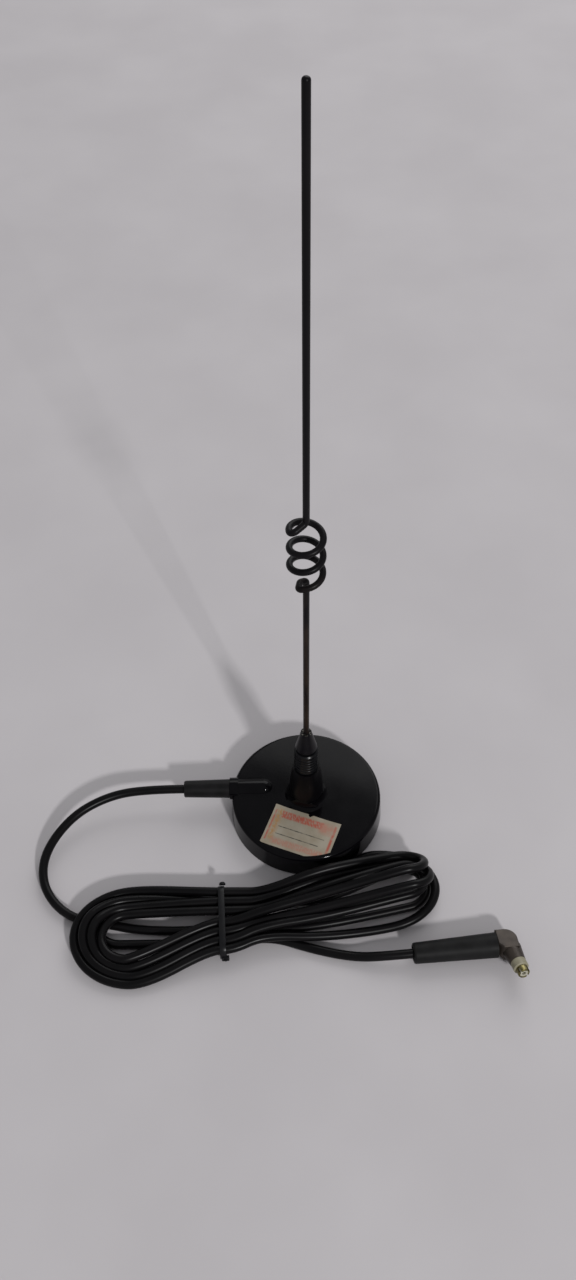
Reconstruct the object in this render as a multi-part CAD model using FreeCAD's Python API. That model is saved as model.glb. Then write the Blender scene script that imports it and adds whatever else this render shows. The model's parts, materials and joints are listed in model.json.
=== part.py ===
import FreeCAD, Part
import math
import os

# Magnetic-mount whip antenna with a coax lead.
# Millimetres, +Z up, origin at the middle of the underside of the base.

V = FreeCAD.Vector
UP = V(0, 0, 1)

# Fits
SLIP = 0.05            # radial clearance of a push fit
SEAT = 0.2             # radial clearance of a moulded seat

# Base, from the floor up
COVER_RIM_RADIUS = 42.0
COVER_DRAFT = 0.8      # the foot is this much wider than the rim
PAD_SET_IN = 0.6       # from the cover's foot
PAD_THICKNESS = 0.8
MAGNET_SET_IN = 4.4    # from the pole plate's edge
MAGNET_BORE_RADIUS = 13.0
MAGNET_THICKNESS = 5.0
PLATE_THICKNESS = 1.2
PLATE_HOLE_RADIUS = 3.0
COVER_HEIGHT = 14.6
COVER_WALL = 3.2
COVER_LEDGE = 1.6
COVER_ROOF = 2.6
RIM_ROUNDING = 2.0

# Flared boss in the middle of the cover
BOSS_FOOT_RADIUS = 12.0
BOSS_FLARE_HEIGHT = 6.3
BOSS_NECK_RADIUS = 9.3  # where the flare ends
BOSS_WAIST_RADIUS = 8.9
BOSS_WAIST_SHARE = 0.58
BOSS_TOP_RADIUS = 7.3
BOSS_HEIGHT = 29.0

# Coax, its exit through the cover and its strain relief
COAX_RADIUS = 2.5
COAX_DIELECTRIC_RADIUS = 1.45
COAX_CORE_RADIUS = 0.5
EXIT_OFFSET = 5.6      # the exit runs along -X, this far behind the middle
EXIT_HEIGHT = 13.5
RIDGE_RADIUS = 5.2
RIDGE_REACH = 18.0     # inwards from the rim
COLLAR_RADIUS = 6.2
COLLAR_REACH = 3.4
COLLAR_STAND_OFF = 1.8
SPIGOT_RADIUS = 3.6
SPIGOT_LENGTH = 7.0
RELIEF_LENGTH = 26.0
RELIEF_ROOT_RADIUS = 5.35
RELIEF_TIP_RADIUS = 4.75
RELIEF_ROUNDING = 0.5
TUNNEL_REACH = 21.0
JACKET_REACH = 13.0
CORE_BEND = 2.0        # straight start of the dielectric, then its slope down
CORE_SLOPE = 5.0
CORE_RUN_HEIGHT = 10.4
CORE_END = (-14.0, 2.5)
CORE_BEND_RADIUS = 1.4
BRAID_TAIL_RADIUS = 0.5
BRAID_TAIL_REACH = 1.4

# Stud through the boss, with its hardware under the roof
STUD_RADIUS = 2.5
STUD_IN_COLLAR = 8.0
STUD_BELOW_NUT = 0.4
NUT_ACROSS_FLATS = 8.0
NUT_THICKNESS = 2.6
WASHER_RADIUS = 4.6
WASHER_THICKNESS = 0.7
WASHER_SPLIT = 0.8
LUG_RADIUS = 4.5
LUG_THICKNESS = 0.6
LUG_REACH = 11.0
LUG_TAB_WIDTH = 4.0
LUG_SOLDER_OFFSET = 0.75
INSULATOR_RADIUS = 11.0
INSULATOR_THICKNESS = 0.4

# Ribbed coupling collar
COUPLING_RADIUS = 6.5
COUPLING_HEIGHT = 16.6
COUPLING_CHAMFER = 0.7
COUPLING_LAND = 2.4
GROOVE_COUNT = 5
GROOVE_DEPTH = 0.5
GROOVE_SHARE = 0.45    # groove width as a share of the groove pitch

# Whip ferrule
FERRULE_NECK_RADIUS = 4.3
FERRULE_NECK_HEIGHT = 1.5
FERRULE_SHOULDER_RADIUS = 5.8
FERRULE_TIP_RADIUS = 2.9
FERRULE_HEIGHT = 15.5
FERRULE_SPIGOT_LENGTH = 7.5
FERRULE_ROUNDING = 1.0

# Whip: one wire with a phasing coil
WIRE_RADIUS = 1.55
WHIP_SEAT_DEPTH = 12.0
LOWER_LENGTH = 118.3   # from the ferrule's tip to the first bend
COIL_RADIUS = 7.5
COIL_PITCH = 10.9
COIL_TURNS = 2.78
COIL_LOW_STEP = 2.8    # rise from the lower bend on the axis to the coil's start
COIL_HIGH_STEP = 3.4   # rise from the coil's end to the upper bend on the axis
COIL_LEAD_IN = 3.9     # straight stretch along the coil's tangent at its start
COIL_LEAD_OUT = 3.6    # the same at its end
LOW_HOOK = (-2.9, -1.7, 0.9)  # corner of the hook under the coil, from the lower bend
LOW_BEND_RADIUS = 1.9
HIGH_BEND_RADIUS = 2.3
UPPER_LENGTH = 192.0
WHIP_TIP_ROUNDING = 1.2

# Paper label on the cover
LABEL_WIDTH = 38.7
LABEL_HEIGHT = 25.6
LABEL_THICKNESS = 0.2
LABEL_CORNER = (-16.9, -6.4)
LABEL_TURN = -21.2
LABEL_RIM_MARGIN = 0.3
NOTCH_FROM_CORNER = 20.0
NOTCH_WIDTH = 3.2
NOTCH_DEPTH = 1.3

# Plug, in its own frame: u along the boot, w sideways, origin at the boot's front face
PLUG_ORIGIN = (98.3, -88.8, 6.7)
PLUG_HEADING = 5.4
PLUG_ROLL = -16.0      # about the boot, so that the nose points up a little
BOOT_LENGTH = 44.2
BOOT_BACK_RADIUS = 5.5
BOOT_FRONT_RADIUS = 6.6
BOOT_LIP_ROUNDING = 1.0
BOOT_LIP_SHARE = 0.3   # how near the lip's middle facet comes to the corner
BOOT_RECESS_RADIUS = 4.0
BOOT_RECESS_DEPTH = 3.0
ELBOW_LENGTH = 10.6
ELBOW_BACK = 5.9
ELBOW_FRONT = 6.3
ELBOW_RISE = 5.5       # flat top, above the boot's axis
ELBOW_DROP = 5.0       # underside, below it
ELBOW_CORNER = 6.2
ELBOW_FRONT_CUT = 2.6  # corner by the boot, cut off
ELBOW_BELLY = 4.8      # rounding along the underside
ELBOW_EDGE = 0.5
ELBOW_SPIGOT_RADIUS = 3.6
ELBOW_SPIGOT_LENGTH = 12.0
ELBOW_SPIGOT_ROOT = 1.0
NOSE_ROOT = 6.4        # along the boot's axis
NOSE_TURN = -81.0
NOSE_START = 3.6       # from the boot's axis, the middle of the nose's round root
NOSE_START_RADIUS = 5.4
NOSE_END_RADIUS = 4.2
NOSE_LENGTH = 12.7     # from the boot's axis
INSULATOR_RING_RADIUS = 4.1
INSULATOR_RING_LENGTH = 4.4
INSULATOR_RING_EDGE = 0.4
COLLET_STEM_RADIUS = 2.7
COLLET_STEM_DEPTH = 3.0
COLLET_RADIUS = 3.15
COLLET_LENGTH = 3.7
COLLET_EDGE = 0.5
COLLET_BORE_RADIUS = 2.3
COLLET_SLOTS = 4
COLLET_SLOT_WIDTH = 1.0
DIELECTRIC_SET_BACK = 0.5
PIN_RADIUS = 1.0
PIN_SET_BACK = 2.6

# Cable tie
TIE_X = -46.0
TIE_WIDTH = 3.6
TIE_THICKNESS = 1.2
TIE_CLEARANCE = 0.2    # under the tie, above the floor
TIE_HEAD = (4.4, 3.0, 4.2)
TIE_HEAD_HEIGHT = 4.0
TIE_HEAD_ROUNDING = 0.6
TIE_TAIL_LENGTH = 2.0

# Route of the lead: straight from the sleeve, down to the floor and under the hank
LEAD_FIRST_RUN = 20.6
LEAD_POINTS = [
    (-112.0, 2.2, 13.0),
    (-133.0, -10.0, 10.8),
    (-147.0, -32.0, 6.5),
    (-144.5, -52.5, 3.4),
    (-129.0, -68.5, 2.6),
    (-108.0, -73.0, 2.6),
]

# Route of the tail: from under the hank to the boot
TAIL_POINTS = [
    (-20.0, -82.0, 2.6),
    (2.0, -88.5, 2.6),
    (24.0, -93.0, 2.8),
]
TAIL_LAST_RUN = 16.4
CORD_ARC_SHARE = 0.45  # share of the shorter run that an arc may take up

# Hank outline: place along X, middle and width across, bottom and top
HANK_SECTIONS = [
    (-126.0, -83.0, 16.0, 0.2, 6.0),
    (-119.0, -83.0, 36.0, 0.0, 10.4),
    (-107.0, -82.0, 50.0, 0.0, 11.4),
    (-92.0, -81.5, 56.0, 0.0, 11.8),
    (-68.0, -76.8, 49.0, 0.4, 12.2),
    (TIE_X, -73.7, 39.8, TIE_THICKNESS + TIE_CLEARANCE, 12.0),
    (-16.0, -69.0, 36.0, 0.4, 14.6),
    (20.0, -65.2, 40.0, 0.0, 20.0),
    (50.0, -58.5, 37.0, 0.0, 25.0),
    (66.0, -55.0, 26.0, 1.5, 24.5),
    (72.5, -54.0, 9.0, 6.0, 18.5),
]
HANK_ROUNDING_SHARE = 0.42

# Levels that the pieces share
MAGNET_BOTTOM = PAD_THICKNESS
MAGNET_TOP = MAGNET_BOTTOM + MAGNET_THICKNESS
PLATE_TOP = MAGNET_TOP + PLATE_THICKNESS
COVER_TOP = PAD_THICKNESS + COVER_HEIGHT
ROOF_UNDERSIDE = COVER_TOP - COVER_ROOF
BOSS_TOP = COVER_TOP + BOSS_HEIGHT
COUPLING_TOP = BOSS_TOP + COUPLING_HEIGHT
FERRULE_TOP = COUPLING_TOP + FERRULE_HEIGHT
LUG_BOTTOM = ROOF_UNDERSIDE - LUG_THICKNESS
WASHER_BOTTOM = LUG_BOTTOM - WASHER_THICKNESS
NUT_BOTTOM = WASHER_BOTTOM - NUT_THICKNESS
COVER_FOOT_RADIUS = COVER_RIM_RADIUS + COVER_DRAFT
PAD_RADIUS = COVER_FOOT_RADIUS - PAD_SET_IN
PLATE_RADIUS = COVER_FOOT_RADIUS - COVER_WALL - SEAT
MAGNET_RADIUS = PLATE_RADIUS - MAGNET_SET_IN
RIDGE_INNER_X = RIDGE_REACH - COVER_RIM_RADIUS
COLLAR_INNER_X = COLLAR_REACH - COVER_RIM_RADIUS
TUNNEL_INNER_X = TUNNEL_REACH - COVER_RIM_RADIUS
JACKET_END_X = JACKET_REACH - COVER_RIM_RADIUS
EXIT_FACE_X = -math.sqrt(COVER_RIM_RADIUS ** 2 - EXIT_OFFSET ** 2) - COLLAR_STAND_OFF
RELIEF_TIP_X = EXIT_FACE_X - RELIEF_LENGTH
RING_END = NOSE_LENGTH + INSULATOR_RING_LENGTH
COLLET_END = RING_END + COLLET_LENGTH
STEM_START = NOSE_LENGTH - COLLET_STEM_DEPTH


# Shape helpers

def closed_face(points):
    # Face from points in order; a triple (start, middle, end) is an arc
    edges = []
    last = None
    first = None
    for item in points:
        if isinstance(item, tuple):
            start, middle, end = item
            if last is not None and last.distanceToPoint(start) > 1e-6:
                edges.append(Part.makeLine(last, start))
            if first is None:
                first = start
            edges.append(Part.Arc(start, middle, end).toShape())
            last = end
        else:
            if last is not None and last.distanceToPoint(item) > 1e-6:
                edges.append(Part.makeLine(last, item))
            if first is None:
                first = item
            last = item
    if last.distanceToPoint(first) > 1e-6:
        edges.append(Part.makeLine(last, first))
    return Part.Face(Part.Wire(edges))


def rz(radius, height):
    return V(radius, 0, height)


def turned(points):
    return closed_face(points).revolve(V(0, 0, 0), UP, 360)


def quarter(center_r, center_z, radius, from_deg, to_deg):
    # Arc in the turning plane, as a triple for closed_face
    spots = []
    for deg in (from_deg, 0.5 * (from_deg + to_deg), to_deg):
        a = math.radians(deg)
        spots.append(rz(center_r + radius * math.cos(a), center_z + radius * math.sin(a)))
    return tuple(spots)


def ring(outer, inner, bottom, top):
    body = Part.makeCylinder(outer, top - bottom, V(0, 0, bottom))
    return body.cut(Part.makeCylinder(inner, top - bottom, V(0, 0, bottom)))


def rounded_path(points, radii):
    # Straight runs joined by tangent arcs, one radius for each inner point
    edges = []
    last = points[0]
    for before, corner, after, radius in zip(points, points[1:], points[2:], radii):
        a = (before - corner).normalize()
        b = (after - corner).normalize()
        half_turn = 0.5 * (math.pi - a.getAngle(b))
        reach = radius * math.tan(half_turn)
        start = corner + a * reach
        end = corner + b * reach
        inward = (a + b).normalize()
        middle = corner + inward * (radius / math.cos(half_turn) - radius)
        if last.distanceToPoint(start) > 1e-6:
            edges.append(Part.LineSegment(last, start).toShape())
        edges.append(Part.Arc(start, middle, end).toShape())
        last = end
    edges.append(Part.LineSegment(last, points[-1]).toShape())
    return edges


def swept(edges, radius, start, direction):
    path = Part.Wire(edges)
    section = Part.Wire([Part.makeCircle(radius, start, direction)])
    return path.makePipeShell([section], True, False), path.Length


def cord_tube(label, points):
    # Each arc is as large as its two runs allow
    radii = []
    for before, corner, after in zip(points, points[1:], points[2:]):
        a = before - corner
        b = after - corner
        half_turn = 0.5 * (math.pi - a.getAngle(b))
        radii.append(CORD_ARC_SHARE * min(a.Length, b.Length) / math.tan(half_turn))
    tube, length = swept(rounded_path(points, radii), COAX_RADIUS, points[0], points[1] - points[0])
    expected = math.pi * COAX_RADIUS ** 2 * length
    print(label, 'radii', [round(r, 1) for r in radii], 'length', round(length, 1),
          'volume ratio', round(tube.Volume / expected, 4))
    return tube


# Base

def make_base_pad():
    return Part.makeCylinder(PAD_RADIUS, PAD_THICKNESS)


def make_ring_magnet():
    return ring(MAGNET_RADIUS, MAGNET_BORE_RADIUS, MAGNET_BOTTOM, MAGNET_TOP)


def make_pole_plate():
    return ring(PLATE_RADIUS, PLATE_HOLE_RADIUS, MAGNET_TOP, PLATE_TOP)


def make_insulating_disc():
    return Part.makeCylinder(INSULATOR_RADIUS, INSULATOR_THICKNESS, V(0, 0, PLATE_TOP))


def exit_cylinder(radius, from_x, to_x):
    return Part.makeCylinder(radius, from_x - to_x, V(from_x, EXIT_OFFSET, EXIT_HEIGHT), V(-1, 0, 0))


def make_base_cover():
    # The boss's flare is a hollow arc, upright at the neck
    neck = COVER_TOP + BOSS_FLARE_HEIGHT
    spread = BOSS_FOOT_RADIUS - BOSS_NECK_RADIUS
    flare_radius = (spread ** 2 + BOSS_FLARE_HEIGHT ** 2) / (2 * spread)
    flare_sweep = math.degrees(math.asin(BOSS_FLARE_HEIGHT / flare_radius))
    boss_arc = (rz(BOSS_NECK_RADIUS, neck),
                rz(BOSS_WAIST_RADIUS, COVER_TOP + BOSS_WAIST_SHARE * BOSS_HEIGHT),
                rz(BOSS_TOP_RADIUS, BOSS_TOP))
    outer = turned([
        rz(0, PAD_THICKNESS),
        rz(COVER_FOOT_RADIUS, PAD_THICKNESS),
        quarter(COVER_RIM_RADIUS - RIM_ROUNDING, COVER_TOP - RIM_ROUNDING, RIM_ROUNDING, 0, 90),
        quarter(BOSS_NECK_RADIUS + flare_radius, neck, flare_radius, 180 + flare_sweep, 180),
        boss_arc,
        rz(0, BOSS_TOP),
    ])
    # Half-round ridge over the cable, with a domed inner end, and the collar at the rim
    ridge = exit_cylinder(RIDGE_RADIUS, RIDGE_INNER_X, COLLAR_INNER_X)
    ridge = ridge.fuse(Part.makeSphere(RIDGE_RADIUS, V(RIDGE_INNER_X, EXIT_OFFSET, EXIT_HEIGHT)))
    collar = exit_cylinder(COLLAR_RADIUS, COLLAR_INNER_X, EXIT_FACE_X)
    body = outer.fuse([ridge, collar])
    # Recess for the magnet and its plate, then the wiring space above the ledge
    recess_radius = PLATE_RADIUS + SEAT
    cavity_radius = PLATE_RADIUS - COVER_LEDGE
    cavity = turned([
        rz(0, PAD_THICKNESS),
        rz(recess_radius, PAD_THICKNESS),
        rz(recess_radius, PLATE_TOP),
        rz(cavity_radius, PLATE_TOP),
        rz(cavity_radius, ROOF_UNDERSIDE),
        rz(0, ROOF_UNDERSIDE),
    ])
    stud_hole = Part.makeCylinder(STUD_RADIUS + SLIP, BOSS_TOP - ROOF_UNDERSIDE, V(0, 0, ROOF_UNDERSIDE))
    spigot_hole = exit_cylinder(SPIGOT_RADIUS + SLIP, EXIT_FACE_X + SPIGOT_LENGTH, EXIT_FACE_X)
    cable_hole = exit_cylinder(COAX_RADIUS + SLIP, TUNNEL_INNER_X, EXIT_FACE_X)
    return body.cut([cavity, stud_hole, spigot_hole, cable_hole]).removeSplitter()


def make_strain_relief():
    round_off = RELIEF_ROUNDING
    profile = closed_face([
        V(EXIT_FACE_X + SPIGOT_LENGTH, 0, 0),
        V(EXIT_FACE_X + SPIGOT_LENGTH, SPIGOT_RADIUS, 0),
        V(EXIT_FACE_X, SPIGOT_RADIUS, 0),
        V(EXIT_FACE_X, RELIEF_ROOT_RADIUS, 0),
        V(RELIEF_TIP_X + round_off, RELIEF_TIP_RADIUS, 0),
        V(RELIEF_TIP_X, RELIEF_TIP_RADIUS - round_off, 0),
        V(RELIEF_TIP_X, 0, 0),
    ])
    sleeve = profile.revolve(V(0, 0, 0), V(1, 0, 0), 360)
    sleeve.translate(V(0, EXIT_OFFSET, EXIT_HEIGHT))
    return sleeve.cut(exit_cylinder(COAX_RADIUS + SLIP, EXIT_FACE_X + SPIGOT_LENGTH, RELIEF_TIP_X))


# Stripped end of the coax inside the base

def make_coax_jacket_end():
    return exit_cylinder(COAX_RADIUS, JACKET_END_X, RELIEF_TIP_X)


def core_route():
    # Out of the jacket, down through the tunnel's open side, then level below the roof
    start = V(JACKET_END_X, EXIT_OFFSET, EXIT_HEIGHT)
    knee = start + V(CORE_BEND, 0, 0)
    low = V(knee.x + CORE_SLOPE, EXIT_OFFSET, CORE_RUN_HEIGHT)
    return [start, knee, low, V(CORE_END[0], CORE_END[1], CORE_RUN_HEIGHT)]


def make_coax_dielectric():
    route = core_route()
    bend = CORE_BEND_RADIUS + COAX_DIELECTRIC_RADIUS
    return swept(rounded_path(route, [bend, bend]), COAX_DIELECTRIC_RADIUS, route[0], V(1, 0, 0))[0]


def make_coax_core():
    # From the dielectric's end up to the underside of the solder lug's tab
    before, start = core_route()[-2:]
    onward = (start - before).normalize()
    level = LUG_BOTTOM - COAX_CORE_RADIUS
    rise = start + onward * CORE_BEND
    tab = V(-LUG_REACH + LUG_TAB_WIDTH / 2, LUG_SOLDER_OFFSET, level)
    end = V(tab.x + CORE_BEND, 0, level)
    path = rounded_path([start, rise, tab, end], [CORE_BEND_RADIUS, CORE_BEND_RADIUS])
    return swept(path, COAX_CORE_RADIUS, start, onward)[0]


def make_coax_braid_tail():
    # Twisted braid, from beside the dielectric at the jacket's end down to the pole plate
    side = (COAX_DIELECTRIC_RADIUS + BRAID_TAIL_RADIUS + SLIP) * math.sqrt(0.5)
    start = V(JACKET_END_X, EXIT_OFFSET + side, EXIT_HEIGHT - side)
    over = start + V(BRAID_TAIL_REACH, 0, 0)
    foot = V(over.x, over.y, PLATE_TOP)
    path = rounded_path([start, over, foot], [BRAID_TAIL_RADIUS * 2])
    return swept(path, BRAID_TAIL_RADIUS, start, V(1, 0, 0))[0]


# Stud and its hardware

def make_base_stud():
    bottom = NUT_BOTTOM - STUD_BELOW_NUT
    return Part.makeCylinder(STUD_RADIUS, BOSS_TOP + STUD_IN_COLLAR - bottom, V(0, 0, bottom))


def make_stud_nut():
    corner = NUT_ACROSS_FLATS / math.sqrt(3)
    corners = []
    for step in range(6):
        a = math.radians(60 * step)
        corners.append(V(corner * math.cos(a), corner * math.sin(a), NUT_BOTTOM))
    nut = closed_face(corners).extrude(V(0, 0, NUT_THICKNESS))
    return nut.cut(Part.makeCylinder(STUD_RADIUS + SLIP, NUT_THICKNESS, V(0, 0, NUT_BOTTOM)))


def make_lock_washer():
    washer = ring(WASHER_RADIUS, STUD_RADIUS + SLIP, WASHER_BOTTOM, LUG_BOTTOM)
    split = Part.makeBox(WASHER_RADIUS * 2, WASHER_SPLIT, WASHER_THICKNESS, V(0, -WASHER_SPLIT / 2, WASHER_BOTTOM))
    return washer.cut(split)


def make_solder_lug():
    eye = Part.makeCylinder(LUG_RADIUS, LUG_THICKNESS, V(0, 0, LUG_BOTTOM))
    tab = Part.makeBox(LUG_REACH, LUG_TAB_WIDTH, LUG_THICKNESS, V(-LUG_REACH, -LUG_TAB_WIDTH / 2, LUG_BOTTOM))
    hole = Part.makeCylinder(STUD_RADIUS + SLIP, LUG_THICKNESS, V(0, 0, LUG_BOTTOM))
    return eye.fuse(tab).cut(hole).removeSplitter()


# Coupling collar, ferrule and whip

def make_coupling_collar():
    edge = COUPLING_CHAMFER
    points = [
        rz(STUD_RADIUS + SLIP, BOSS_TOP),
        rz(COUPLING_RADIUS - edge, BOSS_TOP),
        rz(COUPLING_RADIUS, BOSS_TOP + edge),
    ]
    pitch = (COUPLING_HEIGHT - 2 * COUPLING_LAND) / GROOVE_COUNT
    half = 0.5 * GROOVE_SHARE * pitch
    for index in range(GROOVE_COUNT):
        middle = BOSS_TOP + COUPLING_LAND + (index + 0.5) * pitch
        points.append((rz(COUPLING_RADIUS, middle - half),
                       rz(COUPLING_RADIUS - GROOVE_DEPTH, middle),
                       rz(COUPLING_RADIUS, middle + half)))
    points += [
        rz(COUPLING_RADIUS, COUPLING_TOP - edge),
        rz(COUPLING_RADIUS - edge, COUPLING_TOP),
        rz(STUD_RADIUS + SLIP, COUPLING_TOP),
    ]
    return turned(points)


def make_whip_ferrule():
    neck_top = COUPLING_TOP + FERRULE_NECK_HEIGHT
    seat_bottom = FERRULE_TOP - WHIP_SEAT_DEPTH
    body = turned([
        rz(0, COUPLING_TOP - FERRULE_SPIGOT_LENGTH),
        rz(STUD_RADIUS, COUPLING_TOP - FERRULE_SPIGOT_LENGTH),
        rz(STUD_RADIUS, COUPLING_TOP),
        rz(FERRULE_NECK_RADIUS, COUPLING_TOP),
        rz(FERRULE_NECK_RADIUS, neck_top),
        quarter(FERRULE_SHOULDER_RADIUS - FERRULE_ROUNDING, neck_top + FERRULE_ROUNDING, FERRULE_ROUNDING, -90, 0),
        rz(FERRULE_TIP_RADIUS, FERRULE_TOP),
        rz(0, FERRULE_TOP),
    ])
    return body.cut(Part.makeCylinder(WIRE_RADIUS + SLIP, WHIP_SEAT_DEPTH, V(0, 0, seat_bottom)))


def coil_point(angle, height):
    return V(COIL_RADIUS * math.cos(angle), COIL_RADIUS * math.sin(angle), height)


def coil_tangent(angle):
    rise = COIL_PITCH / (2 * math.pi)
    return V(-COIL_RADIUS * math.sin(angle), COIL_RADIUS * math.cos(angle), rise).normalize()


def make_whip():
    # Lower rod from its seat in the ferrule, coil, then the upper rod on the same axis
    foot = V(0, 0, FERRULE_TOP - WHIP_SEAT_DEPTH)
    low_bend = V(0, 0, FERRULE_TOP + LOWER_LENGTH)
    start_angle = -math.pi / 2
    end_angle = start_angle + 2 * math.pi * COIL_TURNS
    coil_bottom = low_bend.z + COIL_LOW_STEP
    coil_top = coil_bottom + COIL_PITCH * COIL_TURNS
    coil_start = coil_point(start_angle, coil_bottom)
    coil_end = coil_point(end_angle, coil_top)
    start_corner = coil_start - coil_tangent(start_angle) * COIL_LEAD_IN
    end_corner = coil_end + coil_tangent(end_angle) * COIL_LEAD_OUT
    top_bend = V(0, 0, coil_top + COIL_HIGH_STEP)
    top = top_bend + UP * UPPER_LENGTH
    hook = low_bend + V(*LOW_HOOK)
    lower = rounded_path([foot, low_bend, hook, start_corner, coil_start], [LOW_BEND_RADIUS] * 3)
    upper = rounded_path([coil_end, end_corner, top_bend, top], [HIGH_BEND_RADIUS] * 2)
    coil = Part.makeHelix(COIL_PITCH, COIL_PITCH * COIL_TURNS, COIL_RADIUS)
    coil.rotate(V(0, 0, 0), UP, math.degrees(start_angle))
    coil.translate(V(0, 0, coil_bottom))
    wire, length = swept(lower + coil.Edges + upper, WIRE_RADIUS, foot, UP)
    print('whip length', round(length, 1), 'volume ratio',
          round(wire.Volume / (math.pi * WIRE_RADIUS ** 2 * length), 4), 'top', round(top.z, 1))
    # Rounded top end
    tip_profile = turned([
        rz(WIRE_RADIUS - WHIP_TIP_ROUNDING, top.z),
        rz(WIRE_RADIUS * 2, top.z),
        rz(WIRE_RADIUS * 2, top.z - WHIP_TIP_ROUNDING),
        quarter(WIRE_RADIUS - WHIP_TIP_ROUNDING, top.z - WHIP_TIP_ROUNDING, WHIP_TIP_ROUNDING, 0, 90),
    ])
    return wire.cut(tip_profile)


# Label

def make_price_label():
    turn = math.radians(LABEL_TURN)
    across = V(math.cos(turn), math.sin(turn), 0)
    down = V(math.sin(turn), -math.cos(turn), 0)
    corner = V(LABEL_CORNER[0], LABEL_CORNER[1], COVER_TOP)
    notch = NOTCH_FROM_CORNER
    sheet = closed_face([
        corner,
        corner + across * (notch - NOTCH_WIDTH / 2),
        corner + across * notch + down * NOTCH_DEPTH,
        corner + across * (notch + NOTCH_WIDTH / 2),
        corner + across * LABEL_WIDTH,
        corner + across * LABEL_WIDTH + down * LABEL_HEIGHT,
        corner + down * LABEL_HEIGHT,
    ]).extrude(V(0, 0, LABEL_THICKNESS))
    flat_radius = COVER_RIM_RADIUS - RIM_ROUNDING - LABEL_RIM_MARGIN
    return sheet.common(Part.makeCylinder(flat_radius, LABEL_THICKNESS, V(0, 0, COVER_TOP)))


# Cord: lead, hank, tie and tail

def hank_section(x, middle, width, bottom, top):
    rounding = HANK_ROUNDING_SHARE * min(width, top - bottom)
    left = middle - width / 2
    right = middle + width / 2
    flat_y = (left + rounding, right - rounding)
    flat_z = (bottom + rounding, top - rounding)
    corners = [(flat_y[1], flat_z[0], 270), (flat_y[1], flat_z[1], 0),
               (flat_y[0], flat_z[1], 90), (flat_y[0], flat_z[0], 180)]
    edges = []
    last = V(x, flat_y[0], bottom)
    for y, z, start in corners:
        spots = []
        for deg in (start, start + 45, start + 90):
            a = math.radians(deg)
            spots.append(V(x, y + rounding * math.cos(a), z + rounding * math.sin(a)))
        edges.append(Part.makeLine(last, spots[0]))
        edges.append(Part.Arc(*spots).toShape())
        last = spots[2]
    return Part.Wire(edges)


def make_cable_hank():
    return Part.makeLoft([hank_section(*row) for row in HANK_SECTIONS], True, True)


def make_cable_tie(hank):
    row = [row for row in HANK_SECTIONS if row[0] == TIE_X][0]
    x, middle, width, bottom, top = row
    grow = TIE_THICKNESS
    outside = hank_section(x - TIE_WIDTH / 2, middle, width + 2 * grow, bottom - grow, top + grow)
    band = Part.Face(outside).extrude(V(TIE_WIDTH, 0, 0))
    # Head and cut tail on the front side
    front = middle - width / 2 - grow
    head = Part.makeBox(*TIE_HEAD, V(x - TIE_HEAD[0] / 2, front - TIE_HEAD[1] + grow, TIE_HEAD_HEIGHT))
    head = head.makeFillet(TIE_HEAD_ROUNDING, head.Edges)
    tail = Part.makeBox(TIE_WIDTH, TIE_TAIL_LENGTH + TIE_HEAD[1] / 2, TIE_THICKNESS,
                        V(x - TIE_WIDTH / 2, front - TIE_HEAD[1] + grow - TIE_TAIL_LENGTH,
                          TIE_HEAD_HEIGHT + TIE_HEAD[2] / 2))
    return band.fuse([head, tail]).cut(hank).removeSplitter()


def plug_point(u, w, z=0.0):
    turn = math.radians(PLUG_HEADING)
    along = V(math.cos(turn), math.sin(turn), 0)
    side = V(-math.sin(turn), math.cos(turn), 0)
    return V(*PLUG_ORIGIN) + along * u + side * w + UP * z


def make_cable_lead(hank):
    start = V(RELIEF_TIP_X, EXIT_OFFSET, EXIT_HEIGHT)
    points = [start, start - V(LEAD_FIRST_RUN, 0, 0)] + [V(*p) for p in LEAD_POINTS]
    return cord_tube('cable_lead', points).cut(hank)


def make_cable_tail(hank):
    end = plug_point(-BOOT_LENGTH + BOOT_RECESS_DEPTH, 0)
    before = plug_point(-BOOT_LENGTH + BOOT_RECESS_DEPTH - TAIL_LAST_RUN, 0)
    points = [V(*p) for p in TAIL_POINTS] + [before, end]
    return cord_tube('cable_tail', points).cut(hank)


# Plug

def plug_placement():
    turn = FreeCAD.Rotation(UP, PLUG_HEADING).multiply(FreeCAD.Rotation(V(1, 0, 0), PLUG_ROLL))
    return FreeCAD.Placement(V(*PLUG_ORIGIN), turn)


def on_plug(shape):
    shape.Placement = plug_placement()
    return shape


def on_nose(shape):
    # Shapes turned about Z are laid along the nose, from the boot's axis
    lay = FreeCAD.Placement(V(NOSE_ROOT, 0, 0),
                            FreeCAD.Rotation(UP, NOSE_TURN).multiply(FreeCAD.Rotation(V(0, 1, 0), 90)))
    shape.Placement = plug_placement().multiply(lay)
    return shape


def make_plug_boot():
    lip = BOOT_LIP_ROUNDING
    profile = closed_face([
        V(-BOOT_LENGTH + BOOT_RECESS_DEPTH, 0, 0),
        V(-BOOT_LENGTH + BOOT_RECESS_DEPTH, BOOT_RECESS_RADIUS, 0),
        V(-BOOT_LENGTH, BOOT_RECESS_RADIUS, 0),
        V(-BOOT_LENGTH, BOOT_BACK_RADIUS - lip, 0),
        V(-BOOT_LENGTH + BOOT_LIP_SHARE * lip, BOOT_BACK_RADIUS - BOOT_LIP_SHARE * lip, 0),
        V(-BOOT_LENGTH + lip, BOOT_BACK_RADIUS, 0),
        V(0, BOOT_FRONT_RADIUS, 0),
        V(0, ELBOW_SPIGOT_RADIUS + SLIP, 0),
        V(-ELBOW_SPIGOT_LENGTH, ELBOW_SPIGOT_RADIUS + SLIP, 0),
        V(-ELBOW_SPIGOT_LENGTH, 0, 0),
    ])
    return on_plug(profile.revolve(V(0, 0, 0), V(1, 0, 0), 360))


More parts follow.
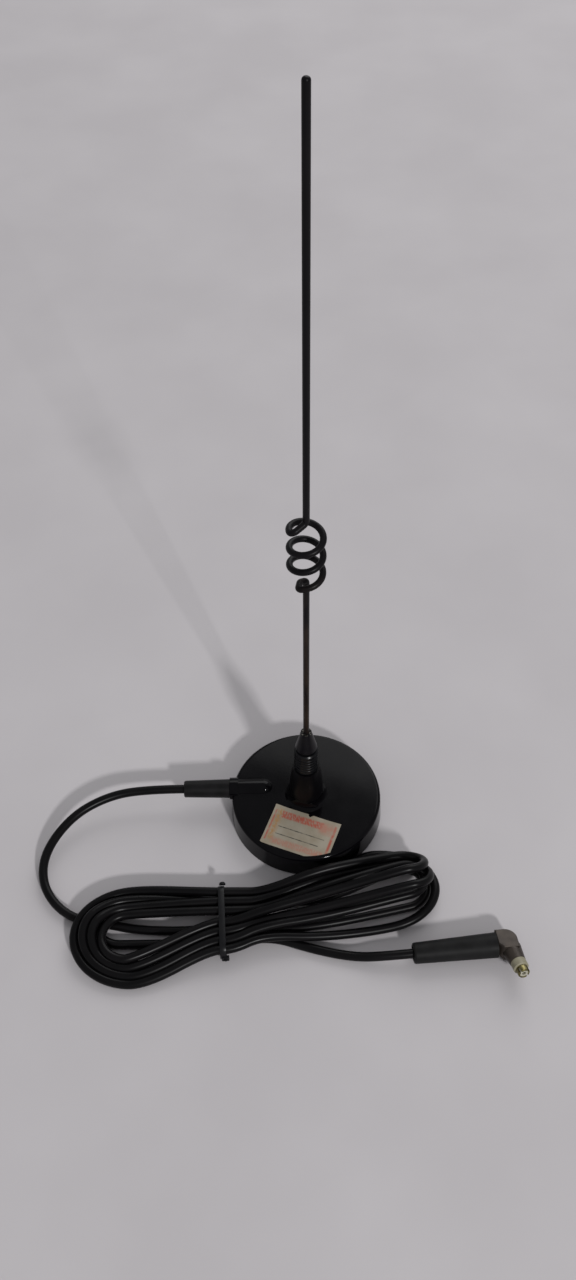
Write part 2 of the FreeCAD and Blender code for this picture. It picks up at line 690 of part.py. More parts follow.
def make_plug_elbow():
    c = ELBOW_CORNER
    mid = c * (1 - math.sqrt(0.5))
    plan = closed_face([
        V(0, ELBOW_FRONT_CUT - ELBOW_FRONT, -ELBOW_DROP),
        V(ELBOW_FRONT_CUT, -ELBOW_FRONT, -ELBOW_DROP),
        V(ELBOW_LENGTH, -ELBOW_FRONT, -ELBOW_DROP),
        (V(ELBOW_LENGTH, ELBOW_BACK - c, -ELBOW_DROP),
         V(ELBOW_LENGTH - mid, ELBOW_BACK - mid, -ELBOW_DROP),
         V(ELBOW_LENGTH - c, ELBOW_BACK, -ELBOW_DROP)),
        V(0, ELBOW_BACK, -ELBOW_DROP),
    ]).extrude(UP * (ELBOW_RISE + ELBOW_DROP))
    # Flat on top and round below
    b = ELBOW_BELLY
    low = b * (1 - math.sqrt(0.5))
    front = closed_face([
        V(0, -ELBOW_FRONT, ELBOW_RISE),
        (V(0, -ELBOW_FRONT, b - ELBOW_DROP),
         V(low, -ELBOW_FRONT, low - ELBOW_DROP),
         V(b, -ELBOW_FRONT, -ELBOW_DROP)),
        (V(ELBOW_LENGTH - b, -ELBOW_FRONT, -ELBOW_DROP),
         V(ELBOW_LENGTH - low, -ELBOW_FRONT, low - ELBOW_DROP),
         V(ELBOW_LENGTH, -ELBOW_FRONT, b - ELBOW_DROP)),
        V(ELBOW_LENGTH, -ELBOW_FRONT, ELBOW_RISE),
    ]).extrude(V(0, ELBOW_FRONT + ELBOW_BACK, 0))
    block = plan.common(front)
    block = block.makeChamfer(ELBOW_EDGE, [e for e in block.Edges if e.BoundBox.ZMin > ELBOW_RISE - SLIP])
    spigot = Part.makeCylinder(ELBOW_SPIGOT_RADIUS, ELBOW_SPIGOT_LENGTH + ELBOW_SPIGOT_ROOT,
                               V(ELBOW_SPIGOT_ROOT, 0, 0), V(-1, 0, 0))
    body = on_plug(block.fuse(spigot))
    nose = on_nose(Part.makeCone(NOSE_START_RADIUS, NOSE_END_RADIUS, NOSE_LENGTH - NOSE_START, V(0, 0, NOSE_START))
                   .fuse(Part.makeSphere(NOSE_START_RADIUS, V(0, 0, NOSE_START))))
    socket = on_nose(Part.makeCylinder(COLLET_STEM_RADIUS + SLIP, COLLET_STEM_DEPTH,
                                       V(0, 0, NOSE_LENGTH - COLLET_STEM_DEPTH)))
    return body.fuse(nose).cut(socket).removeSplitter()


def make_plug_insulator_ring():
    edge = INSULATOR_RING_EDGE
    return on_nose(turned([
        rz(COLLET_STEM_RADIUS + SLIP, NOSE_LENGTH),
        rz(INSULATOR_RING_RADIUS, NOSE_LENGTH),
        rz(INSULATOR_RING_RADIUS, RING_END - edge),
        rz(INSULATOR_RING_RADIUS - edge, RING_END),
        rz(COLLET_STEM_RADIUS + SLIP, RING_END),
    ]))


def make_plug_collet():
    edge = COLLET_EDGE
    body = turned([
        rz(COLLET_BORE_RADIUS, STEM_START),
        rz(COLLET_STEM_RADIUS, STEM_START),
        rz(COLLET_STEM_RADIUS, RING_END),
        rz(COLLET_RADIUS, RING_END),
        rz(COLLET_RADIUS, COLLET_END - edge),
        rz(COLLET_RADIUS - edge, COLLET_END),
        rz(COLLET_BORE_RADIUS, COLLET_END),
    ])
    slots = []
    for index in range(COLLET_SLOTS // 2):
        slot = Part.makeBox(COLLET_RADIUS * 2, COLLET_SLOT_WIDTH, COLLET_LENGTH,
                            V(-COLLET_RADIUS, -COLLET_SLOT_WIDTH / 2, RING_END + edge))
        slot.rotate(V(0, 0, 0), UP, (index + 0.5) * 360 / COLLET_SLOTS)
        slots.append(slot)
    return on_nose(body.cut(slots))


def make_plug_dielectric():
    return on_nose(ring(COLLET_BORE_RADIUS - SLIP, PIN_RADIUS + SLIP, STEM_START, COLLET_END - DIELECTRIC_SET_BACK))


def make_plug_pin():
    return on_nose(Part.makeCylinder(PIN_RADIUS, COLLET_END - PIN_SET_BACK - STEM_START, V(0, 0, STEM_START)))


def main():
    os.makedirs('parts', exist_ok=True)
    hank = make_cable_hank()
    pieces = {
        'base_pad': make_base_pad(),
        'ring_magnet': make_ring_magnet(),
        'pole_plate': make_pole_plate(),
        'insulating_disc': make_insulating_disc(),
        'base_cover': make_base_cover(),
        'strain_relief': make_strain_relief(),
        'coax_jacket_end': make_coax_jacket_end(),
        'coax_dielectric': make_coax_dielectric(),
        'coax_core': make_coax_core(),
        'coax_braid_tail': make_coax_braid_tail(),
        'base_stud': make_base_stud(),
        'stud_nut': make_stud_nut(),
        'lock_washer': make_lock_washer(),
        'solder_lug': make_solder_lug(),
        'coupling_collar': make_coupling_collar(),
        'whip_ferrule': make_whip_ferrule(),
        'whip': make_whip(),
        'price_label': make_price_label(),
        'cable_hank': hank,
        'cable_tie': make_cable_tie(hank),
        'cable_lead': make_cable_lead(hank),
        'cable_tail': make_cable_tail(hank),
        'plug_boot': make_plug_boot(),
        'plug_elbow': make_plug_elbow(),
        'plug_insulator_ring': make_plug_insulator_ring(),
        'plug_collet': make_plug_collet(),
        'plug_dielectric': make_plug_dielectric(),
        'plug_pin': make_plug_pin(),
    }
    for name, shape in pieces.items():
        box = shape.BoundBox
        print('%-20s solids %d valid %s volume %.1f  x %.1f %.1f  y %.1f %.1f  z %.2f %.2f' % (
            name, len(shape.Solids), shape.isValid(), shape.Volume,
            box.XMin, box.XMax, box.YMin, box.YMax, box.ZMin, box.ZMax))
        shape.exportStep('parts/%s.step' % name)


main()
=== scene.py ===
import json
import math
import bpy
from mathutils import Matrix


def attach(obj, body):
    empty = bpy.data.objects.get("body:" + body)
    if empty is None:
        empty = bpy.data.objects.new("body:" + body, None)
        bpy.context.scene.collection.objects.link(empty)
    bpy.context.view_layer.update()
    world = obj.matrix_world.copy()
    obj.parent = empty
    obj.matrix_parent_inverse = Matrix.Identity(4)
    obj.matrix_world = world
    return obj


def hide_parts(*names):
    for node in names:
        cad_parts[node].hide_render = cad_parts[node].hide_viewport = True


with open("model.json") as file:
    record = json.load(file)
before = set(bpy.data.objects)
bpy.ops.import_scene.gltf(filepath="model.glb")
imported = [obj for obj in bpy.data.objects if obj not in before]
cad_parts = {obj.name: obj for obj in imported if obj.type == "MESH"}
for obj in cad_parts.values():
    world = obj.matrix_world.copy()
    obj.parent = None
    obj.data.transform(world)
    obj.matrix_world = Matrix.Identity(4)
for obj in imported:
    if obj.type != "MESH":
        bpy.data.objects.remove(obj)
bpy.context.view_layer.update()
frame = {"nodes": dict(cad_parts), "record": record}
nodes = frame["nodes"]
mm = 0.001
print("frame loaded,", len(nodes), "nodes")

# camera
view = dict(place=(-0.0062, -0.3666, 0.59753), angles=(39.4983, 0.6698, -0.4205), lens=33.877, far=50)
bpy.ops.object.camera_add(location=view["place"])
camera = bpy.context.object
camera.rotation_euler = [math.radians(angle) for angle in view["angles"]]
camera.data.lens = view["lens"]
camera.data.clip_end = view["far"]
bpy.context.scene.camera = camera


# shading helpers, everything on Object coordinates
def startFinish(name, metallic=0.0, roughness=0.4, shine=0.5):
    finish = bpy.data.materials.new(name)
    finish.use_nodes = True
    shader = finish.node_tree.nodes["Principled BSDF"]
    shader.inputs["Metallic"].default_value = metallic
    shader.inputs["Roughness"].default_value = roughness
    shader.inputs["Specular IOR Level"].default_value = shine
    return finish


def objectSpace(tree, scale=(1, 1, 1)):
    coords = tree.nodes.new("ShaderNodeTexCoord")
    place = tree.nodes.new("ShaderNodeMapping")
    place.inputs["Scale"].default_value = scale
    tree.links.new(coords.outputs["Object"], place.inputs["Vector"])
    return place.outputs["Vector"]


def addNoise(tree, scale, detail=3.0, stretch=(1, 1, 1)):
    noise = tree.nodes.new("ShaderNodeTexNoise")
    noise.inputs["Scale"].default_value = scale
    noise.inputs["Detail"].default_value = detail
    tree.links.new(objectSpace(tree, stretch), noise.inputs["Vector"])
    return noise.outputs["Fac"]


def spread(tree, value, low, high, toLow=0.0, toHigh=1.0):
    span = tree.nodes.new("ShaderNodeMapRange")
    span.inputs["From Min"].default_value = low
    span.inputs["From Max"].default_value = high
    span.inputs["To Min"].default_value = toLow
    span.inputs["To Max"].default_value = toHigh
    tree.links.new(value, span.inputs["Value"])
    return span.outputs["Result"]


def blend(tree, share, first, second):
    mix = tree.nodes.new("ShaderNodeMix")
    mix.data_type = "RGBA"
    tree.links.new(share, mix.inputs["Factor"])
    for socket, colour in ((mix.inputs[6], first), (mix.inputs[7], second)):  # colours A and B
        if isinstance(colour, tuple):
            socket.default_value = (*colour, 1)
        else:
            tree.links.new(colour, socket)
    return mix.outputs[2]  # the mixed colour


def addBump(tree, height, strength, distance):
    bump = tree.nodes.new("ShaderNodeBump")
    bump.inputs["Strength"].default_value = strength
    bump.inputs["Distance"].default_value = distance
    tree.links.new(height, bump.inputs["Height"])
    tree.links.new(bump.outputs["Normal"], tree.nodes["Principled BSDF"].inputs["Normal"])


mottle = dict(cloud=(0.35, 0.68), smear=(0.3, 0.7), smearScale=0.6, smearDetail=5.0, grainDetail=2.0,
              relief=0.0002)


def mottled(name, dark, light, patch, rough, grain, metallic=0.0, shine=0.5, stretch=(1, 1, 1)):
    finish = startFinish(name, metallic=metallic, shine=shine)
    tree = finish.node_tree
    shader = tree.nodes["Principled BSDF"]
    cloud = spread(tree, addNoise(tree, patch, stretch=stretch), *mottle["cloud"])
    tree.links.new(blend(tree, cloud, dark, light), shader.inputs["Base Color"])
    smear = addNoise(tree, patch * mottle["smearScale"], mottle["smearDetail"], stretch)
    tree.links.new(spread(tree, smear, *mottle["smear"], *rough), shader.inputs["Roughness"])
    grainScale, grainStrength = grain
    addBump(tree, addNoise(tree, grainScale, mottle["grainDetail"]), grainStrength, mottle["relief"])
    return finish


def times(tree, first, second):
    product = tree.nodes.new("ShaderNodeMath")
    product.operation = "MULTIPLY"
    tree.links.new(first, product.inputs[0])
    tree.links.new(second, product.inputs[1])
    return product.outputs[0]


def plus(tree, first, second):
    total = tree.nodes.new("ShaderNodeMath")
    total.operation = "ADD"
    tree.links.new(first, total.inputs[0])
    tree.links.new(second, total.inputs[1])
    return total.outputs[0]


def heightOf(tree):
    apart = tree.nodes.new("ShaderNodeSeparateXYZ")
    tree.links.new(objectSpace(tree, (1000, 1000, 1000)), apart.inputs["Vector"])  # in mm
    return apart.outputs["Z"]


def relink(tree, socket, change):
    old = tree.nodes["Principled BSDF"].inputs[socket].links[0].from_socket
    tree.links.new(change(old), tree.nodes["Principled BSDF"].inputs[socket])


def strip(tree, value, low, high, soft):
    rising = spread(tree, value, low - soft, low + soft)
    falling = spread(tree, value, high - soft, high + soft, 1, 0)
    return times(tree, rising, falling)


# modelling helpers, a piece ends at the origin with its place in the mesh
facing = 0.9  # how squarely a picked face looks along an axis


def settle(piece, name, finish):
    bpy.ops.object.mode_set(mode="OBJECT")
    bpy.ops.object.transform_apply(location=True, rotation=True, scale=True)
    piece.name = name
    piece.data.materials.clear()
    piece.data.materials.append(finish)
    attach(piece, "root")


def addBox(centre, size, turn=0):
    bpy.ops.object.select_all(action="DESELECT")
    bpy.ops.mesh.primitive_cube_add(size=1, location=[value * mm for value in centre],
                                    rotation=(0, 0, math.radians(turn)))
    box = bpy.context.object
    box.scale = [value * mm for value in size]
    bpy.ops.object.transform_apply(location=False, rotation=False, scale=True)
    return box


def pickFaces(piece, test):
    bpy.ops.object.mode_set(mode="EDIT")
    bpy.ops.mesh.select_mode(type="FACE")
    bpy.ops.mesh.select_all(action="DESELECT")
    bpy.ops.object.mode_set(mode="OBJECT")
    for face in piece.data.polygons:
        face.select = test(face)
    bpy.ops.object.mode_set(mode="EDIT")


def pickEdges(piece, test):
    bpy.ops.object.mode_set(mode="EDIT")
    bpy.ops.mesh.select_mode(type="EDGE")
    bpy.ops.mesh.select_all(action="DESELECT")
    bpy.ops.object.mode_set(mode="OBJECT")
    for edge in piece.data.edges:
        ends = [piece.data.vertices[index].co for index in edge.vertices]
        edge.select = test(*ends)
    bpy.ops.object.mode_set(mode="EDIT")


def applied(piece, kind, **settings):
    bpy.ops.object.mode_set(mode="OBJECT")
    step = piece.modifiers.new(kind, kind)
    for key, value in settings.items():
        setattr(step, key, value)
    bpy.ops.object.modifier_apply(modifier=step.name)


def cutWith(piece, cutter, operation):
    bpy.ops.object.select_all(action="DESELECT")
    piece.select_set(True)
    bpy.context.view_layer.objects.active = piece
    applied(piece, "BOOLEAN", object=cutter, operation=operation, solver="EXACT")
    bpy.data.objects.remove(cutter)


# floor and light
floor = dict(size=40, colour=(0.54, 0.515, 0.53), shade=(0.575, 0.55, 0.565), patch=9, rough=(0.8, 0.9),
             grain=(700, 0.05), shine=0.2)
bpy.ops.mesh.primitive_plane_add(size=floor["size"])
paper = bpy.context.object
paper.name = "floorPaper"
paper.data.materials.append(mottled("floorPaper", floor["colour"], floor["shade"], floor["patch"],
                                    floor["rough"], floor["grain"], shine=floor["shine"]))

light = dict(key=(1.6, -3.42, 2.5), keyPower=104, keySize=0.33, back=(0.9, 2.55, 2.1), backPower=40,
             backSize=2.5, room=0.36, roomColour=(0.97, 0.98, 1))
for name in ("key", "back"):
    bpy.ops.object.light_add(type="AREA", location=light[name])
    lamp = bpy.context.object
    lamp.data.energy = light[name + "Power"]
    lamp.data.size = light[name + "Size"]
    lamp.rotation_euler = (-lamp.location).to_track_quat("-Z", "Y").to_euler()
room = bpy.data.worlds.new("room")
room.use_nodes = True
room.node_tree.nodes["Background"].inputs["Color"].default_value = (*light["roomColour"], 1)
room.node_tree.nodes["Background"].inputs["Strength"].default_value = light["room"]
bpy.context.scene.world = room
bpy.context.scene.view_settings.view_transform = "Standard"
print("camera, floor and light set")

# a finish for each slot: dark and light tone, patch scale, roughness from and to, grain scale and strength
finishes = dict(
    base_shell=mottled("shellGloss", (0.0016, 0.0014, 0.002), (0.003, 0.0028, 0.0035), 70, (0.06, 0.12),
                       (900, 0.02), shine=0.11),
    pad=mottled("padRubber", (0.012, 0.012, 0.012), (0.022, 0.021, 0.02), 120, (0.7, 0.85), (1400, 0.2)),
    magnet=mottled("ferrite", (0.03, 0.03, 0.032), (0.055, 0.053, 0.052), 300, (0.6, 0.75), (2000, 0.2)),
    pole_steel=mottled("zincSteel", (0.42, 0.43, 0.44), (0.56, 0.56, 0.55), 90, (0.3, 0.45),
                       (800, 0.05), metallic=1.0),
    insulation_card=mottled("card", (0.16, 0.1, 0.05), (0.22, 0.15, 0.08), 200, (0.7, 0.85), (1500, 0.15)),
    relief_rubber=mottled("sleeveRubber", (0.005, 0.005, 0.005), (0.009, 0.008, 0.009), 160, (0.36, 0.48),
                          (1500, 0.12), shine=0.14),
    coax_jacket=mottled("coaxVinyl", (0.0024, 0.0022, 0.0026), (0.0048, 0.0043, 0.0048), 55, (0.24, 0.36),
                        (900, 0.05), shine=0.12),
    coax_insulation=mottled("polythene", (0.4, 0.38, 0.3), (0.5, 0.48, 0.39), 200, (0.35, 0.5), (1500, 0.05)),
    copper=mottled("copper", (0.42, 0.19, 0.1), (0.6, 0.3, 0.18), 400, (0.25, 0.4),
                   (1500, 0.05), metallic=1.0),
    stud_brass=mottled("studBrass", (0.36, 0.25, 0.09), (0.5, 0.37, 0.15), 300, (0.28, 0.4),
                       (1500, 0.05), metallic=1.0),
    washer_steel=mottled("springSteel", (0.22, 0.22, 0.23), (0.32, 0.32, 0.33), 300, (0.3, 0.45),
                         (1500, 0.05), metallic=1.0),
    collar_plastic=mottled("collarPlastic", (0.004, 0.004, 0.005), (0.008, 0.008, 0.009), 150, (0.2, 0.32),
                           (1200, 0.06), shine=0.16),
    ferrule_metal=mottled("ferruleBlack", (0.004, 0.0036, 0.005), (0.007, 0.0062, 0.0072), 220, (0.28, 0.42),
                          (1500, 0.06), shine=0.12),
    whip_coating=mottled("whipCoat", (0.003, 0.0026, 0.0036), (0.007, 0.006, 0.007), 60, (0.28, 0.42),
                         (1500, 0.08), shine=0.11, stretch=(1, 1, 0.25)),
    label_paper=mottled("labelPaper", (0.40, 0.35, 0.28), (0.46, 0.42, 0.35), 120, (0.75, 0.9),
                        (2500, 0.1), shine=0.2),
    tie_plastic=mottled("tieNylon", (0.005, 0.005, 0.006), (0.009, 0.009, 0.010), 200, (0.26, 0.38),
                        (1500, 0.05), shine=0.18),
    boot_rubber=mottled("bootVinyl", (0.009, 0.0088, 0.009), (0.014, 0.0138, 0.014), 120, (0.42, 0.56),
                        (1300, 0.1), shine=0.1),
    plug_nickel=mottled("nickelBronze", (0.029, 0.0222, 0.018), (0.06, 0.047, 0.038), 140, (0.36, 0.5),
                        (900, 0.08), metallic=0.5),
    ring_plastic=mottled("ringPlastic", (0.24, 0.218, 0.145), (0.315, 0.29, 0.205), 250, (0.45, 0.6),
                         (1800, 0.08)),
    contact_brass=mottled("contactBrass", (0.13, 0.11, 0.04), (0.29, 0.255, 0.125), 300, (0.22, 0.36),
                          (1800, 0.06), metallic=1.0),
)
# boss duller than the disc, lower rod rubbed brown, bare metal on the ferrule's top face
wear = dict(bossFoot=20.8, bossFade=1.2, bossDull=0.3,
            rodLow=70, rodHigh=192, rodFade=12, brown=(0.024, 0.016, 0.012),
            rubScale=190, rubDetail=4.0, rubStretch=(1, 1, 0.2), rubRange=(0.42, 0.6),
            bareFrom=76.2, bareFade=0.3, bare=(0.13, 0.125, 0.11), bareScale=900, bareRange=(0.5, 0.6))
tree = finishes["base_shell"].node_tree
fullyDull = wear["bossFoot"] + wear["bossFade"]
dull = spread(tree, heightOf(tree), wear["bossFoot"], fullyDull, 0, wear["bossDull"])
relink(tree, "Roughness", lambda old: plus(tree, old, dull))
tree = finishes["whip_coating"].node_tree
rodPart = strip(tree, heightOf(tree), wear["rodLow"], wear["rodHigh"], wear["rodFade"])
rubMarks = addNoise(tree, wear["rubScale"], wear["rubDetail"], wear["rubStretch"])
rubbed = times(tree, rodPart, spread(tree, rubMarks, *wear["rubRange"]))
relink(tree, "Base Color", lambda old: blend(tree, rubbed, old, wear["brown"]))
tree = finishes["ferrule_metal"].node_tree
topFace = spread(tree, heightOf(tree), wear["bareFrom"], wear["bareFrom"] + wear["bareFade"])
bare = times(tree, topFace, spread(tree, addNoise(tree, wear["bareScale"]), *wear["bareRange"]))
relink(tree, "Base Color", lambda old: blend(tree, bare, old, wear["bare"]))
tree.links.new(bare, tree.nodes["Principled BSDF"].inputs["Metallic"])
for part in frame["record"]["subparts"]:
    nodes[part["node"]].data.materials.clear()
    nodes[part["node"]].data.materials.append(finishes[part["material_slot"]])
print("finishes on the CAD nodes")

# coax lead, the lead's points then five loops through the tie and the tail
coax = dict(radius=2.5, tieX=-46, tieHalf=6, outX=-24, midX=6, exit=(-69.425, 5.6, 13.5), length=2.36,
            rightStep=33, leftStep=32, lengthwise=10, around=5)
leadPoints = [coax["exit"], (-90, 5.6, 13.5), (-112, 2.2, 13), (-133, -10, 10.8), (-147, -32, 6.5),
              (-144.5, -52.5, 3.4), (-129, -68.5, 2.6), (-108, -72.2, 2.6), (-92, -75.8, 2.6),
              (-70, -77, 2.8)]
tailPoints = [(-52, -84.5, 3.7), (-40, -84.5, 3.7), (-20, -80.3, 2.6), (2, -88, 2.6), (24, -93, 2.8),
              (40.96, -94.22, 6.7), (57.29, -92.68, 6.7)]
# where each loop lies, as (y, z) at the tie, just past it and half way
# its right end has front (y, z), tip (x, z) and back (y, z), its left end back (y, z), tip x and front (y, z)
loops = [
    dict(front=(-76.5, 3.9), frontOut=(-77.5, 4.4), frontMid=(-76.5, 6),
         back=(-60, 3.9), backOut=(-60.3, 5.4), backMid=(-64.2, 8),
         right=((-64.9, 2.8), (65.2, 2.8), (-40.7, 2.7)), rightLong=1.02,
         left=((-60, 8), -120.4, (-103.4, 4)), leftLong=1.3, lift=12.2),
    dict(front=(-85.3, 8.6), frontOut=(-78.6, 11.5), frontMid=(-74.2, 11.6),
         back=(-62.5, 8.6), backOut=(-62.7, 9.2), backMid=(-51.2, 12.4),
         right=((-62.4, 12), (63.8, 9.5), (-38.8, 7)), rightLong=1.03,
         left=((-65.2, 8.4), -115.4, (-99.2, 5.4)), leftLong=1.25, lift=12.4),
    dict(front=(-80, 8.6), frontOut=(-74, 9.4), frontMid=(-70.2, 13.9),
         back=(-68, 8.6), backOut=(-67.8, 9), backMid=(-58, 13.8),
         right=((-62.6, 24.6), (65.7, 17.6), (-42.6, 10.6)), rightLong=1.22,
         left=((-69.4, 8.6), -110.2, (-95.4, 8)), leftLong=1.1, lift=8.6),
    dict(front=(-74.6, 8.6), frontOut=(-70.6, 13.4), frontMid=(-63.6, 16.4),
         back=(-57, 8.6), backOut=(-57.5, 8.8), backMid=(-49, 17.6),
         right=((-55, 27.4), (63.2, 19), (-37.3, 10.8)), rightLong=1.38,
         left=((-54.6, 7.8), -125.6, (-107.5, 2.7)), leftLong=1.25, lift=7.9),
    dict(front=(-90.4, 8.4), frontOut=(-82.8, 8.8), frontMid=(-82.8, 6),
         back=(-65.5, 3.9), backOut=(-65.3, 3.6), backMid=(-54, 2.7),
         right=((-77.8, 2.9), (70.4, 6.6), (-31.8, 2.6)), rightLong=1.4,
         left=((-60, 2.7), -114, (-84.6, 2.7)), leftLong=1.05, lift=8.2),
]
liftShare = (0, 0.4, 1, 0.6, 0.1, 0, 0)  # how far each point of a left end rises over the lead
nearTie, farTie = coax["tieX"] - coax["tieHalf"], coax["tieX"] + coax["tieHalf"]


def acrossFold(front, back):  # half width, half rise and middle of a fold
    (frontY, frontZ), (backY, backZ) = front, back
    return (backY - frontY) / 2, (backZ - frontZ) / 2, (backY + frontY) / 2, (backZ + frontZ) / 2


coaxPoints = list(leadPoints)
for loop in loops:
    coaxPoints += [(nearTie, *loop["front"]), (farTie, *loop["front"]), (coax["outX"], *loop["frontOut"]),
                   (coax["midX"], *loop["frontMid"])]
    front, (tipX, tipZ), back = loop["right"]
    half, rise, midY, midZ = acrossFold(front, back)
    reach = half * loop["rightLong"]
    for step in range(len(liftShare)):
        turn = math.radians(coax["rightStep"] * step - 90)
        coaxPoints.append((tipX - reach + reach * math.cos(turn), midY + half * math.sin(turn),
                           midZ + rise * math.sin(turn) + (tipZ - midZ) * max(0, math.cos(turn))))
    coaxPoints += [(coax["midX"], *loop["backMid"]), (coax["outX"], *loop["backOut"]),
                   (farTie, *loop["back"]), (nearTie, *loop["back"])]
    back, tipX, front = loop["left"]
    half, rise, midY, midZ = acrossFold(front, back)
    reach = half * loop["leftLong"]
    for step, share in enumerate(liftShare):
        turn = math.radians(coax["leftStep"] * step + 90)
        height = midZ + rise * math.sin(turn)
        coaxPoints.append((tipX + reach + reach * math.cos(turn), midY + half * math.sin(turn),
                           height + (loop["lift"] - height) * share))
coaxPoints += tailPoints
coaxCurve = bpy.data.curves.new("coaxLead", "CURVE")
coaxCurve.dimensions = "3D"
coaxSpline = coaxCurve.splines.new("NURBS")
coaxSpline.points.add(len(coaxPoints) - 1)
for point, place in zip(coaxSpline.points, coaxPoints):
    point.co = (*(value * mm for value in place), 1)
coaxSpline.order_u = 3
coaxSpline.use_endpoint_u = True
coaxSpline.resolution_u = coax["lengthwise"]
coaxCurve.bevel_depth = coax["radius"] * mm
coaxCurve.bevel_resolution = coax["around"]
coaxCurve.use_fill_caps = True
coaxLead = bpy.data.objects.new("coaxLead", coaxCurve)
bpy.context.scene.collection.objects.link(coaxLead)
coaxLead.data.materials.append(finishes["coax_jacket"])

# cable tie round the middle of the hank
tie = dict(x=-46, width=3.4, thick=1.1, back=-53.2, front=-94, low=0.3, high=12.3, corner=5.6, cornerSteps=8,
           turn=3.2, edge=0.25, sharp=50, smooth=35,
           head=(4, 1.8, 3.4), headPlace=(-43.8, -93.8, 5.4), slot=0.5, headEdge=0.4,
           tail=(2.2, 1.4, 0.9), tailPlace=(-43.6, -95, 5.8), tailTaper=(0.55, 1, 0.8), tailEdge=0.15,
           nub=(3.8, 1.8, 2.2), nubPlace=(-46.4, -53.2, 11), nubTaper=(0.5, 0.6, 1), nubEdge=0.5)
cableTie = addBox((tie["x"], (tie["back"] + tie["front"]) / 2, (tie["low"] + tie["high"]) / 2),
                  (tie["width"], tie["back"] - tie["front"], tie["high"] - tie["low"]), tie["turn"])
pickFaces(cableTie, lambda face: abs(face.normal.x) > facing)
bpy.ops.mesh.delete(type="ONLY_FACE")
pickEdges(cableTie, lambda a, b: abs(a.x - b.x) > tie["width"] * mm / 2)
bpy.ops.mesh.bevel(offset=tie["corner"] * mm, segments=tie["cornerSteps"], affect="EDGES")
applied(cableTie, "SOLIDIFY", thickness=tie["thick"] * mm, offset=-1)
applied(cableTie, "BEVEL", width=tie["edge"] * mm, segments=2, limit_method="ANGLE",
        angle_limit=math.radians(tie["sharp"]))
tieHead = addBox(tie["headPlace"], tie["head"], tie["turn"])
pickFaces(tieHead, lambda face: face.normal.y < -facing)
bpy.ops.mesh.inset(thickness=tie["slot"] * mm)
bpy.ops.mesh.extrude_region_move(TRANSFORM_OT_translate=dict(value=(0, tie["slot"] * mm, 0)))
applied(tieHead, "BEVEL", width=tie["headEdge"] * mm, segments=3, limit_method="ANGLE",
        angle_limit=math.radians(tie["sharp"]))
tieTail = addBox(tie["tailPlace"], tie["tail"], tie["turn"])
pickFaces(tieTail, lambda face: face.normal.y < -facing)
bpy.ops.transform.resize(value=tie["tailTaper"])
applied(tieTail, "BEVEL", width=tie["tailEdge"] * mm, segments=2)
tieNub = addBox(tie["nubPlace"], tie["nub"], tie["turn"])
pickFaces(tieNub, lambda face: face.normal.z > facing)
bpy.ops.transform.resize(value=tie["nubTaper"])
applied(tieNub, "BEVEL", width=tie["nubEdge"] * mm, segments=3)
for piece in (tieHead, tieTail, tieNub, cableTie):
    piece.select_set(True)
bpy.context.view_layer.objects.active = cableTie
bpy.ops.object.join()
bpy.ops.object.shade_smooth_by_angle(angle=math.radians(tie["smooth"]))
settle(cableTie, "cableTie", finishes["tie_plastic"])
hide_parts("cable_tie")
print("cable tie made")

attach(coaxLead, "root")
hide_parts("cable_lead", "cable_hank", "cable_tail")
print("coax lead laid,", len(coaxPoints), "points")

# paper label stuck on the cover, trimmed along the rim
label = dict(corner=(-16.9, -6.4), size=(38.7, 25.6), turn=-21.2, foot=15.43, thick=0.13, grid=(54, 36),
             rim=39.7, rimSteps=160, rimDepth=10, notch=(20.8, 0.2), notchSize=(2.4, 1.9, 4), notchTurn=45,
             lifts=((0, 0, 0.5, 7), (0, 25.6, 0.35, 6), (38.7, 0, 0.45, 8), (20, 0, 0.2, 5)),
             paper=(0.335, 0.3, 0.24), aged=(0.265, 0.225, 0.165), red=(0.36, 0.095, 0.065),
             pink=(0.36, 0.19, 0.14), orange=(0.34, 0.2, 0.09), ink=(0.03, 0.032, 0.028))
turn = math.radians(label["turn"])


def onLabel(across, down):
    return (label["corner"][0] + across * math.cos(turn) + down * math.sin(turn),
            label["corner"][1] + across * math.sin(turn) - down * math.cos(turn))


bpy.ops.object.select_all(action="DESELECT")
middle = onLabel(label["size"][0] / 2, label["size"][1] / 2)
bpy.ops.mesh.primitive_grid_add(x_subdivisions=label["grid"][0], y_subdivisions=label["grid"][1], size=1,
                                rotation=(0, 0, turn),
                                location=(middle[0] * mm, middle[1] * mm, label["foot"] * mm))
labelSheet = bpy.context.object
labelSheet.scale = (label["size"][0] * mm, label["size"][1] * mm, 1)
bpy.ops.object.transform_apply(location=True, rotation=True, scale=True)
# corners and one long edge lift a little off the plastic: across, down, lift, reach
for across, down, lift, reach in label["lifts"]:
    x, y = onLabel(across, down)
    bpy.ops.object.mode_set(mode="EDIT")
    bpy.ops.mesh.select_mode(type="VERT")
    bpy.ops.mesh.select_all(action="DESELECT")
    bpy.ops.object.mode_set(mode="OBJECT")
    nearest = min(labelSheet.data.vertices, key=lambda v: (v.co.x - x * mm) ** 2 + (v.co.y - y * mm) ** 2)
    nearest.select = True
    bpy.ops.object.mode_set(mode="EDIT")
    bpy.ops.transform.translate(value=(0, 0, lift * mm), use_proportional_edit=True,
                                proportional_edit_falloff="SMOOTH", proportional_size=reach * mm)
applied(labelSheet, "SOLIDIFY", thickness=label["thick"] * mm, offset=1)
notchBox = addBox((*onLabel(*label["notch"]), label["foot"]), label["notchSize"],
                  label["turn"] + label["notchTurn"])
cutWith(labelSheet, notchBox, "DIFFERENCE")
bpy.ops.mesh.primitive_cylinder_add(vertices=label["rimSteps"], radius=label["rim"] * mm,
                                    depth=label["rimDepth"] * mm, location=(0, 0, label["foot"] * mm))
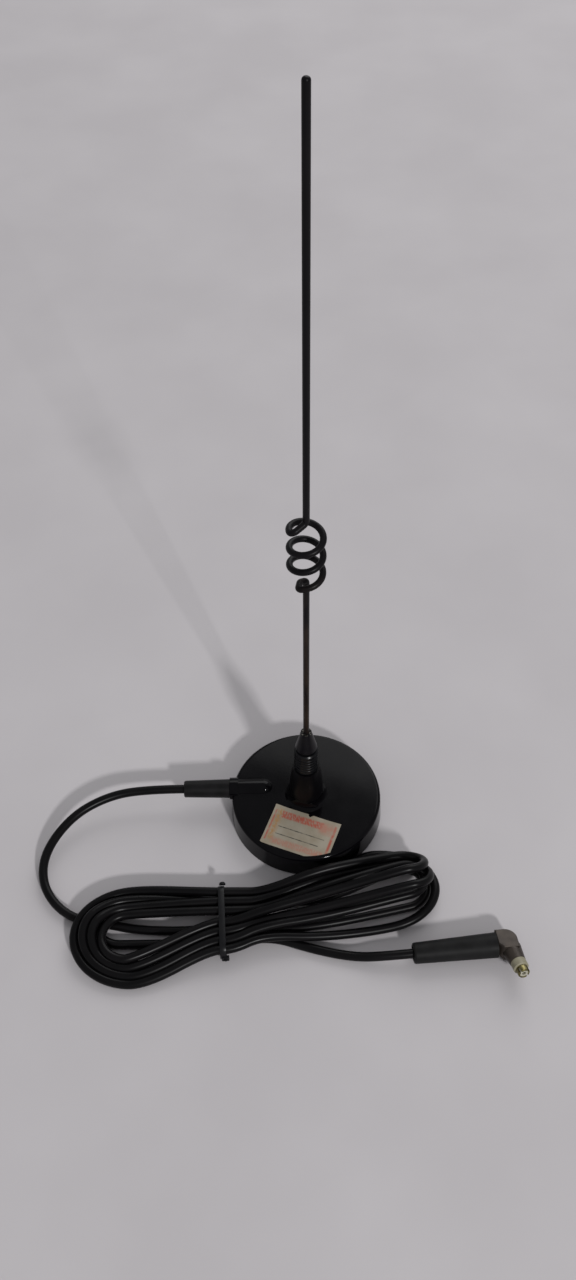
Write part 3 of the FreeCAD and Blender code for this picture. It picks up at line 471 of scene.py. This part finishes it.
cutWith(labelSheet, bpy.context.object, "INTERSECT")

# the label's paper and fields of colour, laid out in mm from its top left corner
printing = dict(rough=0.8, shine=0.2, aged=(110, 4.0), agedRange=(0.35, 0.7),
                worn=(420, 3.0), wornRange=(0.32, 0.6, 0.35, 1),
                hatch=(900, 2.0, (1.6, 0.5, 1)), hatchRange=(0.4, 0.55, 0.3, 1),
                grain=(1500, 3.0), grainStrength=0.15)
printed = startFinish("labelPrint", roughness=printing["rough"], shine=printing["shine"])
tree = printed.node_tree
coords = tree.nodes.new("ShaderNodeTexCoord")
place = tree.nodes.new("ShaderNodeMapping")
place.vector_type = "TEXTURE"
place.inputs["Location"].default_value = (label["corner"][0] * mm, label["corner"][1] * mm, 0)
place.inputs["Rotation"].default_value = (0, 0, turn)
place.inputs["Scale"].default_value = (mm, -mm, mm)
tree.links.new(coords.outputs["Object"], place.inputs["Vector"])
apart = tree.nodes.new("ShaderNodeSeparateXYZ")
tree.links.new(place.outputs["Vector"], apart.inputs["Vector"])
across, down = apart.outputs["X"], apart.outputs["Y"]
aged = spread(tree, addNoise(tree, *printing["aged"]), *printing["agedRange"])
sheet = blend(tree, aged, label["paper"], label["aged"])
worn = spread(tree, addNoise(tree, *printing["worn"]), *printing["wornRange"])
hatch = spread(tree, addNoise(tree, *printing["hatch"]), *printing["hatchRange"])
fields = [  # left, right, top, bottom, softness, colour, rubbing
    (2.6, 5.6, 2, 22, 1.2, label["orange"], hatch), (1.2, 2.1, 3, 23, 0.25, label["red"], worn),
    (36, 37.4, 2.5, 24, 0.35, label["red"], worn), (5.4, 30, 2.6, 7, 0.4, label["red"], hatch),
    (5, 35, 20.2, 24, 0.7, label["pink"], hatch), (28, 36, 2.5, 9, 1.5, label["pink"], worn),
    (6, 33, 12.4, 12.9, 0.15, label["ink"], worn), (6, 31, 17.2, 17.7, 0.15, label["ink"], worn)]
for left, right, top, bottom, soft, colour, rubbing in fields:
    area = times(tree, strip(tree, across, left, right, soft), strip(tree, down, top, bottom, soft))
    sheet = blend(tree, times(tree, area, rubbing), sheet, colour)
tree.links.new(sheet, tree.nodes["Principled BSDF"].inputs["Base Color"])
addBump(tree, addNoise(tree, *printing["grain"]), printing["grainStrength"], mottle["relief"])
settle(labelSheet, "labelSheet", printed)
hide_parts("price_label")
print("label made")
